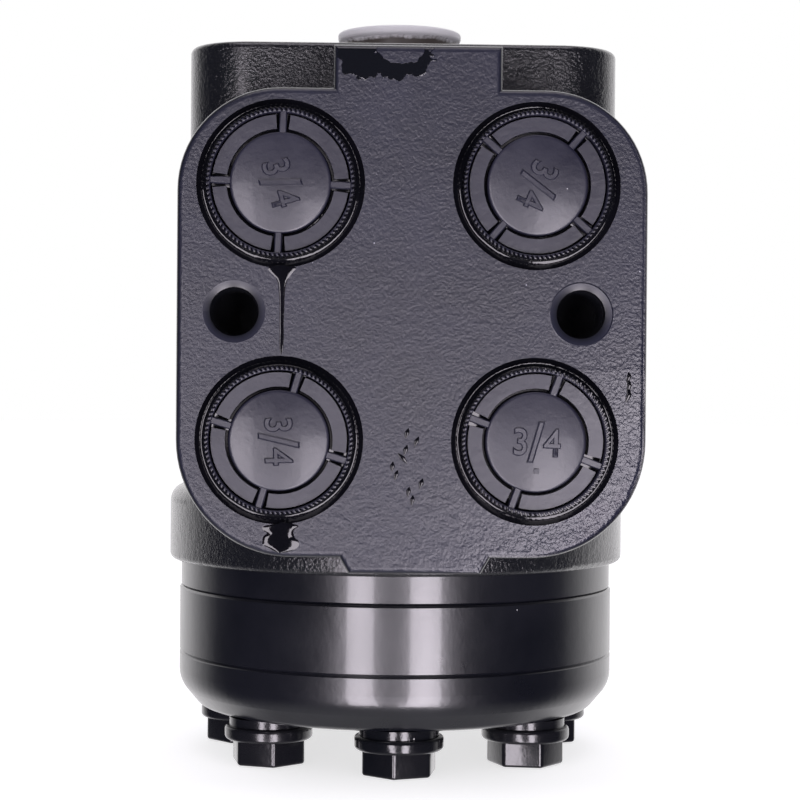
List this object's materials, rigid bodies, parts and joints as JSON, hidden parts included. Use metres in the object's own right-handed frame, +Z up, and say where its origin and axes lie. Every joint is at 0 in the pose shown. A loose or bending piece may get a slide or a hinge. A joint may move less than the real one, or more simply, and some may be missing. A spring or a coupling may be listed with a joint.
{
  "type": "orbital steering unit",
  "caption": "Hydraulic steering unit: valve housing with a four-port face and square column flange over a gerotor stack, with rotating valve set, orbiting star and push-in plugs and cover.",
  "frame": {"origin": "centre of the column face, on the main axis", "axes": "+Z up along the main axis towards the steering column; -Y out of the port face; +X to the right seen from the port side"},
  "size_m": [0.091, 0.1109, 0.1445],
  "materials": {
    "cast_paint": "gloss black paint over a cast surface",
    "steel_paint": "satin black paint over turned steel",
    "screw_paint": "gloss black paint",
    "ground_steel": "ground and oiled",
    "rubber": "smooth black rubber",
    "plug_plastic": "black moulded plastic",
    "cover_plastic": "translucent white plastic"
  },
  "bodies": {
    "unit": {"housing": "cast_paint", "distributor_plate": "steel_paint", "gerotor_ring": "steel_paint", "end_cap": "steel_paint", "end_screws": "screw_paint", "pin_screw": "screw_paint", "screw_washers": "screw_paint", "body_o_ring": "rubber", "ring_o_ring_upper": "rubber", "ring_o_ring_lower": "rubber", "thrust_race_upper": "ground_steel", "shaft_seal": "rubber", "dust_seal": "rubber", "check_bush": "ground_steel"},
    "bearing_cage": {"needle_cage": "ground_steel"},
    "valve_sleeve": {"sleeve": "ground_steel", "cross_pin": "ground_steel", "spring_ring": "ground_steel", "thrust_race_lower": "ground_steel", "leaf_springs": "ground_steel"},
    "valve_spool": {"spool": "ground_steel"},
    "input_cover": {"spline_cover": "cover_plastic"},
    "orbit_carrier": {"drive_spacer": "ground_steel"},
    "cardan_shaft": {"drive_shaft": "ground_steel"},
    "gerotor_star": {"rotor": "ground_steel"},
    "check_valve_ball": {"check_ball": "ground_steel"},
    "port_plug_upper_left": {"plug_upper_left": "plug_plastic", "plug_ring_upper_left": "rubber"},
    "port_plug_upper_right": {"plug_upper_right": "plug_plastic", "plug_ring_upper_right": "rubber"},
    "port_plug_lower_left": {"plug_lower_left": "plug_plastic", "plug_ring_lower_left": "rubber"},
    "port_plug_lower_right": {"plug_lower_right": "plug_plastic", "plug_ring_lower_right": "rubber"}
  },
  "joints": [
    {"name": "sleeve_spin", "type": "hinge", "parent": "unit", "child": "valve_sleeve", "pos_m": [0, 0, 0], "axis": [0, 0, 1], "continuous": true},
    {"name": "bearing_spin", "type": "hinge", "parent": "unit", "child": "bearing_cage", "pos_m": [0, 0, 0], "axis": [0, 0, 1], "continuous": true},
    {"name": "spool_deflection", "type": "hinge", "parent": "valve_sleeve", "child": "valve_spool", "pos_m": [0, 0, 0], "axis": [0, 0, 1], "range_deg": [-8, 8], "stiffness_Nm_per_rad": 6, "deforming": ["leaf_springs"]},
    {"name": "cover_lift", "type": "slide", "parent": "unit", "child": "input_cover", "axis": [0, 0, 1], "range_m": [0, 0.02]},
    {"name": "orbit", "type": "hinge", "parent": "unit", "child": "orbit_carrier", "pos_m": [0, 0, 0], "axis": [0, 0, 1], "continuous": true},
    {"name": "rotor_spin", "type": "hinge", "parent": "orbit_carrier", "child": "gerotor_star", "pos_m": [0, -0.0036, -0.11], "axis": [0, 0, 1], "continuous": true},
    {"name": "shaft_spin", "type": "hinge", "parent": "orbit_carrier", "child": "cardan_shaft", "pos_m": [0, 0, -0.046], "axis": [0, 0.0565, 0.9984], "continuous": true},
    {"name": "check_ball_lift", "type": "slide", "parent": "unit", "child": "check_valve_ball", "axis": [0, 0, 1], "range_m": [0, 0.0019]},
    {"name": "plug_upper_left_out", "type": "slide", "parent": "unit", "child": "port_plug_upper_left", "axis": [0, -1, 0], "range_m": [0, 0.02]},
    {"name": "plug_upper_right_out", "type": "slide", "parent": "unit", "child": "port_plug_upper_right", "axis": [0, -1, 0], "range_m": [0, 0.02]},
    {"name": "plug_lower_left_out", "type": "slide", "parent": "unit", "child": "port_plug_lower_left", "axis": [0, -1, 0], "range_m": [0, 0.02]},
    {"name": "plug_lower_right_out", "type": "slide", "parent": "unit", "child": "port_plug_lower_right", "axis": [0, -1, 0], "range_m": [0, 0.02]}
  ],
  "couplings": [
    {"joint": "bearing_spin", "follows": "sleeve_spin", "ratio": 0.5},
    {"joint": "orbit", "follows": "sleeve_spin", "ratio": -6},
    {"joint": "rotor_spin", "follows": "sleeve_spin", "ratio": 7},
    {"joint": "shaft_spin", "follows": "sleeve_spin", "ratio": 7}
  ]
}
